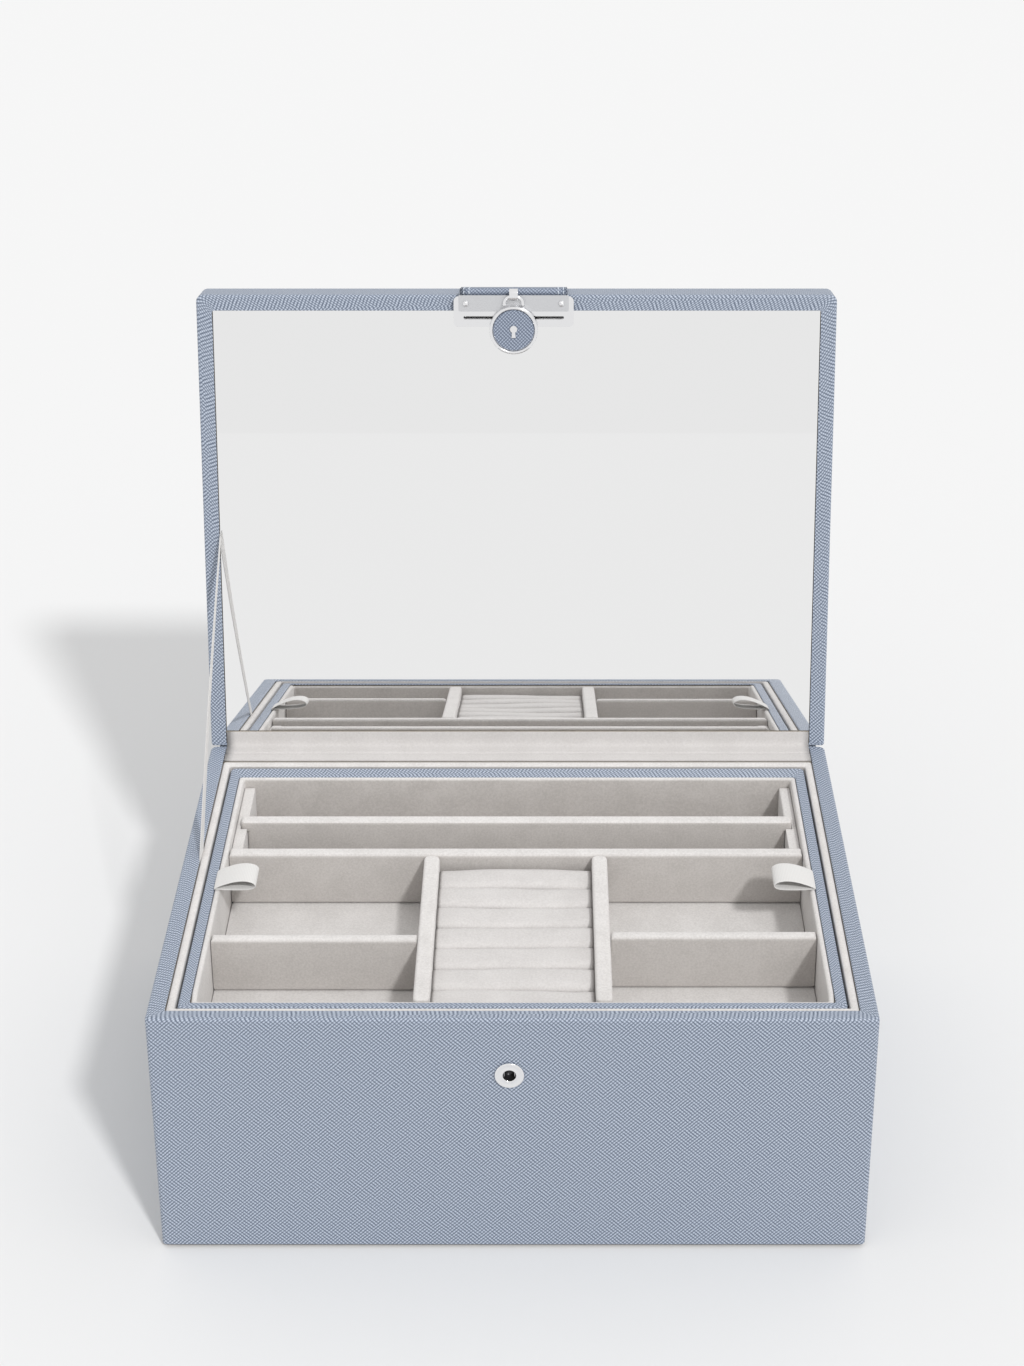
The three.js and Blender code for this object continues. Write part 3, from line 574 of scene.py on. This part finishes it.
dress(["mirror"], worn("silvered_glass", (0.885, 0.885, 0.885), 0.015, 1.0, 6.0, 1.0, 0.008, 0.02))

# ---------------------------------------------------------------- the snap socket
# A spun brass cup with a rolled flange, chromed, pressed into the front wall. Two spring wires cross its bore
# and grip the stud.
bright_chrome = worn("bright_chrome", (0.84, 0.84, 0.85), 0.10, 1.0, 400.0, 3.0, 0.08, 0.18)


def spun(name, profile, place, material, segments=72):
    """A solid of revolution: each (radius, height) of the profile, easing into the next, swept round Z."""
    angle = np.linspace(0, 2 * math.pi, segments, endpoint=False)
    rings = []
    for radius, height in profile:
        radius = max(radius, 1e-6)
        rings.append(np.column_stack([radius * np.cos(angle), radius * np.sin(angle),
                                      np.full(segments, height)]))
    return skin(name, rings, material, caps=True, place=place)


def rolled(centre, radius, start, end, steps=6):
    """Points of an arc in the profile plane, centre + radius * (cos, sin), in degrees."""
    a = np.radians(np.linspace(start, end, steps))
    return [(centre[0] + radius * math.cos(t), centre[1] + radius * math.sin(t)) for t in a]


facing_front = (Matrix.Translation((socket_mid.x, socket_high.y, socket_mid.z))
                @ Matrix.Rotation(math.pi / 2, 4, "X"))
depth = socket_high.y - socket_low.y
socket_profile = [(0, 0), (4.5 * mm, 0), (4.5 * mm, depth - 0.95 * mm), (5.9 * mm, depth - 0.95 * mm)]
socket_profile += rolled((5.7 * mm, depth - 0.47 * mm), 0.47 * mm, -80, 100)
socket_profile += [(4.6 * mm, depth - 0.18 * mm), (3.6 * mm, depth - 0.3 * mm)]
socket_profile += rolled((3.1 * mm, depth - 0.42 * mm), 0.42 * mm, 80, 180)
socket_profile += [(2.65 * mm, depth - 1.0 * mm), (2.65 * mm, 0.6 * mm), (0, 0.6 * mm)]
socket = spun("socket_cup", socket_profile, facing_front, bright_chrome)
# Painted shade: the faces of the bore take a near-black metal that stands for the shade in the hole.
socket.data.materials.append(worn("bore_painted_shade", (0.045, 0.045, 0.048), 0.35, 0.6, 500.0, 2.0, 0.28, 0.42))
for face in socket.data.polygons:
    inside = math.hypot(face.center.x - socket_mid.x, face.center.z - socket_mid.z) < 2.7 * mm
    face.material_index = 1 if inside else 0
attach(socket, "case")
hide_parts("snap_socket")


def tube(name, points, radius, material, place=None, sides=12):
    """A round wire along a curve: at each point a circle square to the tangent, with the least twist."""
    p = np.array(points, float)
    tangent = np.gradient(p, axis=0)
    tangent /= np.linalg.norm(tangent, axis=1)[:, None]
    side = np.cross(tangent[0], [0.3, 0.2, 1.0])
    angle = np.linspace(0, 2 * math.pi, sides, endpoint=False)
    rings = []
    for centre, direction in zip(p, tangent):
        side = side - direction * side.dot(direction)
        side = side / np.linalg.norm(side)
        other = np.cross(direction, side)
        rings.append(centre + radius * (np.cos(angle)[:, None] * side + np.sin(angle)[:, None] * other))
    return skin(name, rings, material, caps=True, place=place)


for wire_name, side in (("spring_wire_left", -1), ("spring_wire_right", 1)):
    t = np.linspace(-1, 1, 15)
    bow_x = side * (2.3 - 0.05 * (1 - t * t)) * mm
    bow = np.column_stack([bow_x, t * 1.3 * mm, np.full_like(t, depth - 1.55 * mm)])
    spring = tube(wire_name, bow, 0.22 * mm, bright_chrome, place=facing_front)
    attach(spring, "case")

# ---------------------------------------------------------------- the stay ribbon
# A flat woven ribbon on the left only. Its foot is glued between wall and lining and its head under the
# mirror's edge; drawn tight, it stops the lid.
ribbon_cloth, ribbon_tree, ribbon_shader = finish("ribbon_cloth", (0.84, 0.83, 0.80), 0.75, sheen=0.2,
                                                  specular=0.25)
weft_pitch, warp_pitch = 0.5 * mm, 0.7 * mm
ribbon_uv = wire(ribbon_tree, "ShaderNodeUVMap", uv_map="UVMap").outputs["UV"]
weft = wire(ribbon_tree, "ShaderNodeTexWave", Vector=ribbon_uv,
            Scale=math.pi / 10 / weft_pitch, Distortion=0.3)
warp = wire(ribbon_tree, "ShaderNodeTexWave", Vector=ribbon_uv, bands_direction="Y",
            Scale=math.pi / 10 / warp_pitch, Distortion=0.3)
weave = wire(ribbon_tree, "ShaderNodeMath", operation="MULTIPLY",
             i0=weft.outputs["Fac"], i1=warp.outputs["Fac"])
ribbon_tint = wire(ribbon_tree, "ShaderNodeMix", data_type="RGBA", i0=weave.outputs[0],
                   i6=(0.60, 0.59, 0.575, 1), i7=(0.72, 0.71, 0.70, 1))
ribbon_tree.links.new(ribbon_tint.outputs[2], ribbon_shader.inputs["Base Color"])
ribbon_bump = wire(ribbon_tree, "ShaderNodeBump", Strength=0.4, Distance=0.06 * mm, Height=weave.outputs[0])
ribbon_tree.links.new(ribbon_bump.outputs["Normal"], ribbon_shader.inputs["Normal"])


def ribbon(name, centre, across, facing, width, thickness, material):
    """A flat band along a curve: its section at each point is width along across and thickness along facing,
    with rounded selvedges."""
    c, w, n = (np.array(v, float) for v in (centre, across, facing))
    a = np.linspace(0, 2 * math.pi, 16, endpoint=False)
    flat = np.sign(np.cos(a)) * np.abs(np.cos(a)) ** 0.4 * width / 2
    thick = np.sign(np.sin(a)) * np.abs(np.sin(a)) ** 0.7 * thickness / 2
    rings = [c[i] + flat[:, None] * w[i] + thick[:, None] * n[i] for i in range(len(c))]
    return skin(name, rings, material, caps=True)


stay_low, stay_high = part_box("stay_ribbon")
stay_x = (stay_low.x + stay_high.x) / 2
t = np.linspace(0, 1, 40)
head_y, head_z = on_lid(back - 106 * mm, lid_low + 0.4 * mm)
foot = np.array([-board_inner + 0.12 * mm, 10.0 * mm, hinge_z - 3.8 * mm])
head = np.array([stay_x + 0.3 * mm, head_y, head_z])
line = foot + (head - foot) * t[:, None]
direction = (head - foot) / np.linalg.norm(head - foot)
turn_angle = np.radians(5 - 9 * t)
side_on = np.cross(direction, [1, 0, 0])
across = np.cos(turn_angle)[:, None] * side_on + np.sin(turn_angle)[:, None] * np.array([1.0, 0, 0])
facing = np.cross(across, direction)
line[:, 0] -= 0.6 * mm * np.sin(math.pi * t)
stay = ribbon("lid_stay", line, across, facing, 7.2 * mm, 0.4 * mm, ribbon_cloth)
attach(stay, "case")
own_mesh(stay)
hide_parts("stay_ribbon")

# ---------------------------------------------------------------- the strap
# A leatherette strap, glued and stitched to the lid's front edge, that bends over the edge and carries the
# clasp. It's laid out in the clasp's own axes: x across, y up towards the strap, z out from the lid.
clasp_low, clasp_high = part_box("clasp_frame")
clasp_x = (clasp_low.x + clasp_high.x) / 2
flap_place = open_lid @ Matrix.Translation((clasp_x, front, lid_low)) @ Matrix.Rotation(math.pi, 4, "X")
strap_half = 25 * mm
strap_leather = leatherette("strap_leatherette", (0.39, 0.445, 0.54), (0.08, 0.10, 0.15), 1.1 * mm)
strap_path, strap_normals = bent_path([(0.9 * mm, -14 * mm), (0.9 * mm, -8 * mm), (0.95 * mm, -3 * mm),
                                       (1.7 * mm, -0.6 * mm), (2.7 * mm, 1.2 * mm), (2.9 * mm, 2.5 * mm),
                                       (1.9 * mm, 3.1 * mm), (0.2 * mm, 2.5 * mm), (-2 * mm, 1.75 * mm),
                                       (-8.4 * mm, 1.55 * mm)], steps=10)
middle = int(np.argmax(strap_path[:, 0]))


def strap_part(name, rows, body_a, body_b, start, end):
    """A stretch of the strap between two rows of its path; the bodies and bend points it is given are not
    used.
    """
    piece = strip(name, strap_path[rows], strap_normals[rows], (-strap_half, strap_half), 1.1 * mm,
                  strap_leather, place=flap_place)
    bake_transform(piece)
    return piece


rows_root = np.arange(0, middle + 1)
rows_flap = np.arange(middle, len(strap_path))
bend_over = ((2.66 * mm, 1.1 * mm), (2.93 * mm, 2.4 * mm))
bend_down = ((2.7 * mm, 2.7 * mm), (0.2 * mm, 2.4 * mm))
strap_upper = strap_part("strap_upper", rows_root, "lid", "strap", *bend_over)
strap_lower = strap_part("strap_lower", rows_flap, "strap", "clasp", *bend_down)

# Two rows of thread at each end of the strap. A thread stands above the leather for two thirds of each
# stitch and dips under it for the rest: depth = tanh(4 (sin + 0.5)) of the distance along the strap.
thread, thread_tree, thread_shader = finish("strap_thread", (0.62, 0.67, 0.74), 0.6, sheen=0.2)
thread_twist = wire(thread_tree, "ShaderNodeTexNoise", Scale=1500.0, Detail=2.0,
                    Vector=wire(thread_tree, "ShaderNodeTexCoord").outputs["Object"])
thread_bump = wire(thread_tree, "ShaderNodeBump", Strength=0.4, Distance=0.05 * mm,
                   Height=thread_twist.outputs["Fac"])
thread_tree.links.new(thread_bump.outputs["Normal"], thread_shader.inputs["Normal"])
stitch, thread_radius = 1.8 * mm, 0.2 * mm
sewn = np.concatenate([[0], np.cumsum(np.linalg.norm(np.diff(strap_path, axis=0), axis=1))])
stand = 0.43 * mm + 0.22 * mm * np.tanh(4 * (np.sin(2 * math.pi * sewn / stitch) + 0.5))
sewn_line = strap_path - strap_normals * stand[:, None]
rows_front = rows_flap[strap_path[rows_flap, 0] > -0.6 * mm]
for number, row_x in enumerate((-23.2, -20.8, 20.8, 23.2), 1):
    for part, rows, bodies, bend in (("root", rows_root, ("lid", "strap"), bend_over),
                                     ("front", rows_front, ("strap", "clasp"), bend_down)):
        row_points = np.column_stack([np.full(len(rows), row_x * mm), sewn_line[rows]])
        row = tube(f"stitches_{part}_{number}", row_points, thread_radius, thread,
                   place=flap_place, sides=8)
        a, b = (flap_place @ Vector((0, *point)) for point in bend)
        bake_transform(row)
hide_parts("strap_root", "strap_bend")
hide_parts("strap_flap")

# ---------------------------------------------------------------- the clasp
# A pressed chrome frame with a long slot lies under a satin plate. Two rivets hold both to the strap's end,
# and a small bail at the top carries the padlock.
satin_metal = worn("satin_metal", (0.60, 0.605, 0.62), 0.38, 0.9, 700.0, 2.0, 0.32, 0.44)


def eased_copy(name, node_name, edge, material, body):
    """A copy of a CAD solid, its doubled corner points merged and its edges eased."""
    mesh = frame["nodes"][node_name].data.copy()
    mesh.name = name
    mesh.materials.clear()
    mesh.materials.append(material)
    mark_front_back_shade(mesh)
    piece = bpy.data.objects.new(name, mesh)
    bpy.context.collection.objects.link(piece)
    weld = piece.modifiers.new("weld", "WELD")
    weld.merge_threshold = 0.00001
    ease = piece.modifiers.new("ease", "BEVEL")
    ease.width = edge
    ease.segments = 3
    ease.limit_method = "ANGLE"
    ease.angle_limit = math.radians(35)
    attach(piece, body)
    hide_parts(node_name)
    return piece


eased_copy("clasp_chrome_frame", "clasp_frame", 0.35 * mm, bright_chrome, "clasp")
eased_copy("clasp_satin_plate", "clasp_plate", 0.25 * mm, satin_metal, "clasp")
plate_top = 5.1 * mm
for rivet_name, side in (("rivet_left", -1), ("rivet_right", 1)):
    dome = [(0, 0), (1.5 * mm, 0)] + rolled((0, -0.75 * mm), 1.68 * mm, 27, 90, 8)
    head_place = flap_place @ Matrix.Translation((side * 22.3 * mm, -3.3 * mm, plate_top + 0.25 * mm))
    rivet = spun(rivet_name + "_head", dome, head_place, bright_chrome, segments=32)
    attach(rivet, "clasp")
    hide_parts(rivet_name)
bail_z = 7.25 * mm
bail_angle = np.linspace(0, 2 * math.pi, 48, endpoint=False)
bail_rings = []
for x, radius in ((-2, 1.5), (-2, 1.8), (-1.8, 1.97), (1.8, 1.97), (2, 1.8), (2, 1.5)):
    upward = 1.3 * mm + (radius + 0.8) * mm * np.cos(bail_angle)
    outward = bail_z + radius * mm * np.sin(bail_angle)
    bail_rings.append(np.column_stack([np.full_like(bail_angle, x * mm), upward, outward]))
bail = skin("bail_band", bail_rings, bright_chrome, closed=True, place=flap_place)
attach(bail, "clasp")
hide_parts("clasp_bail")

# ---------------------------------------------------------------- the padlock charm
# A turned chrome case with a raised bezel round a leatherette inlay, a small keyhole, a wire shackle through
# the bail, and the snap's stud on its back.
lock_y = -15.4 * mm
lock_place = flap_place @ Matrix.Translation((0, lock_y, 5.35 * mm))
lock_radius = 11.3 * mm
lock_profile = [(0, 0), (lock_radius - 0.5 * mm, 0)]
lock_profile += rolled((lock_radius - 0.5 * mm, 0.5 * mm), 0.5 * mm, -80, 0, 4)
lock_profile += rolled((lock_radius - 0.8 * mm, 2.6 * mm), 0.8 * mm, 0, 180, 12)
lock_profile += [(lock_radius - 1.6 * mm, 2.0 * mm), (0, 2.0 * mm)]
lock = spun("padlock_body", lock_profile, lock_place, bright_chrome, segments=96)
inlay_profile = [(9.3 * mm, 2.25 * mm), (9.5 * mm, 2.35 * mm), (9.5 * mm, 2.7 * mm), (9.3 * mm, 2.88 * mm)]
inlay = spun("padlock_leather", inlay_profile, lock_place, strap_leather, 64)
eased_copy("keyhole_plate", "padlock_keyhole", 0.12 * mm, bright_chrome, "padlock")
s = np.linspace(0, math.pi, 26)
arch = np.column_stack([-4.3 * mm * np.cos(s), (-2.7 + 3.2 * np.sin(s)) * mm, 0 * s])
legs = np.array([-4.0, -3.6, -3.15]) * mm
shackle_points = [(-4.3 * mm, y, 0) for y in legs] + arch.tolist() + [(4.3 * mm, y, 0) for y in legs[::-1]]
shackle = tube("padlock_loop", shackle_points, 0.82 * mm, bright_chrome,
               place=flap_place @ Matrix.Translation((0, 0, bail_z)))
stud_profile = [(0, -0.8 * mm), (1.5 * mm, -0.8 * mm)] + rolled((1.5 * mm, -0.3 * mm), 0.5 * mm, -80, 60, 6)
stud_profile += [(1.65 * mm, 0.6 * mm), (1.65 * mm, 4.3 * mm), (3.4 * mm, 4.3 * mm), (3.4 * mm, 5.1 * mm),
                 (0, 5.1 * mm)]
stud = spun("snap_stud_post", stud_profile, flap_place @ Matrix.Translation((0, lock_y, 0)), bright_chrome)
for piece, node_name in ((lock, "padlock_case"), (inlay, "padlock_inlay"), (shackle, "padlock_shackle"),
                         (stud, "snap_stud")):
    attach(piece, "padlock")
    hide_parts(node_name)

# ---------------------------------------------------------------- the tray
# A loose tray of thin boards rests on the two ledges. Leatherette covers it outside and over its rim, and a
# velvet band and floor are glued inside.
tray_low, tray_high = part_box("tray_wrap")
tray_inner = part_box("tray_lining")
tray_wall = (tray_high.x - tray_inner[1].x - 0.15 * mm, tray_inner[0].y - tray_low.y - 0.15 * mm,
             tray_high.y - tray_inner[1].y - 0.15 * mm)


def tray_ring(t, side, z, radius=2 * mm):
    """A ring of the tray's cover: t = 0 outside, 1 at the lining, with an even inset of side."""
    return ring((tray_low.x + tray_wall[0] * t + side, tray_high.x - tray_wall[0] * t - side),
                (tray_low.y + tray_wall[1] * t + side, tray_high.y - tray_wall[2] * t - side), radius, z)


cover, edge, tray_turn = 0.7 * mm, 1.1 * mm, 0.6 * mm
tray_rings = [tray_ring(0, cover, tray_low.z, 1.2 * mm), tray_ring(0, 0, tray_low.z)]
for a in np.linspace(0, math.pi / 2, 5):
    tray_rings.append(tray_ring(0, edge * (1 - math.cos(a)), tray_high.z - edge * (1 - math.sin(a))))
for a in np.linspace(0, math.pi / 2, 4):
    inset = -tray_turn * (1 - math.sin(a))
    tray_rings.append(tray_ring(1, inset, tray_high.z - tray_turn * (1 - math.cos(a)), 1 * mm))
tray_rings += [tray_ring(1, 0, tray_high.z - cover, 1 * mm),
               tray_ring(0, cover, tray_high.z - cover, 1.2 * mm)]
tray_leather = skin("tray_leather", tray_rings, blue_leather, closed=True)
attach(tray_leather, "tray")
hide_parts("tray_wrap")

floor_low, floor_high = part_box("tray_floor")
lining_wall = (tray_inner[1].x - floor_high.x - 0.25 * mm, floor_low.y - tray_inner[0].y - 0.25 * mm,
               tray_inner[1].y - floor_high.y - 0.25 * mm)
frame_like("tray_velvet_band", "tray_lining", lining_wall, 1.2 * mm, cream_velvet, "tray", dip=1.4 * mm)
block_like("tray_velvet_floor", "tray_floor", 0.3 * mm, cream_velvet, "tray")

# ---------------------------------------------------------------- dividers
# Thin boards wrapped in velvet, with soft round tops. The rear one is loose: its ears hang in the notches of
# two cheek boards, so it lifts out.
for divider in ("middle_divider", "front_divider_left", "front_divider_right"):
    block_like(divider + "_board", divider, 1.7 * mm, cream_velvet, "tray", corner=0.4 * mm)
for column in ("column_left", "column_right"):
    block_like(column + "_board", column, 1.3 * mm, cream_velvet, "tray", corner=2.4 * mm,
               steps=5)
for cheek in ("cheek_left", "cheek_right"):
    eased_copy(cheek + "_board", cheek, 0.9 * mm, cream_velvet, "tray")
eased_copy("rear_divider_board", "rear_divider", 1.3 * mm, cream_velvet, "rear_divider")

# ---------------------------------------------------------------- ring rolls
# Seven foam rolls covered in velvet lie side by side between the columns, glued to the tray's floor. Rings
# stand in the slots between them.
roll_velvet = napped("roll_velvet", (0.60, 0.58, 0.568), (0.52, 0.50, 0.488), 0.15)
crown = 4.0 * mm
outline = np.linspace(0, math.pi, 25)
for number in range(1, 8):
    node_name = f"ring_roll_{number}"
    a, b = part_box(node_name)
    half = (b.y - a.y) / 2
    tall = b.z - a.z
    rings = []
    for along in np.linspace(0, 1, 40):
        x = a.x - 0.2 * mm + along * (b.x - a.x + 0.4 * mm)
        tuck = 0.25 * mm * math.exp(-min(along, 1 - along) * (b.x - a.x) / (1.5 * mm))
        sway = 0.30 * mm * math.sin(x * 95 + number * 2.1) + 0.18 * mm * math.sin(x * 210 + number * 4.4)
        swell = 0.35 * mm * math.sin(x * 70 + number * 1.3)
        top_y = half * np.sign(np.cos(outline)) * np.abs(np.cos(outline)) ** 0.55
        top_z = tall - crown + swell - tuck + crown * np.sin(outline) ** 0.7
        section_y = np.concatenate([[half], top_y, [-half]]) + sway
        section_z = np.concatenate([[0.0], top_z, [0.0]])
        rings.append(np.column_stack([np.full(len(section_y), x), (a.y + b.y) / 2 + section_y,
                                      a.z + section_z]))
    roll = skin(f"velvet_roll_{number}", rings, roll_velvet, caps=True)
    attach(roll, "tray")
    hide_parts(node_name)

# ---------------------------------------------------------------- pull loops
# A short loop of the ribbon at each side, its ends glued between the tray's wall and lining. It leans in over
# the tray.
reach = 18.5 * mm
for loop_name, side in (("pull_loop_left", -1), ("pull_loop_right", 1)):
    a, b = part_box(loop_name)
    root_x = side * (tray_inner[1].x + 0.1 * mm)
    t = np.linspace(0, 1, 49)
    swing = 2 * math.pi * t
    inward = reach * (0.5 - 0.5 * np.cos(swing))
    out = inward / reach
    height = 3.1 * mm * np.sin(swing) * (0.35 + 0.65 * out) + 3.3 * mm * np.sin(math.pi * out / 2)
    sag = 0.8 * mm * out ** 2
    centre = np.column_stack([root_x - side * inward, np.full_like(t, (a.y + b.y) / 2) - 1.5 * mm * out,
                              tray_high.z + 0.1 * mm + np.maximum(height, 0) - sag + 0.55 * mm])
    tangent = np.gradient(centre, axis=0)
    tangent /= np.linalg.norm(tangent, axis=1)[:, None]
    across = np.tile([0.0, 1.0, 0.0], (len(t), 1))
    facing = np.cross(across, tangent)
    facing /= np.linalg.norm(facing, axis=1)[:, None]
    loop = ribbon(loop_name + "_ribbon", centre, across, facing, 15 * mm, 0.5 * mm, ribbon_cloth)
    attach(loop, "tray")
    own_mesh(loop)
    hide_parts(loop_name)
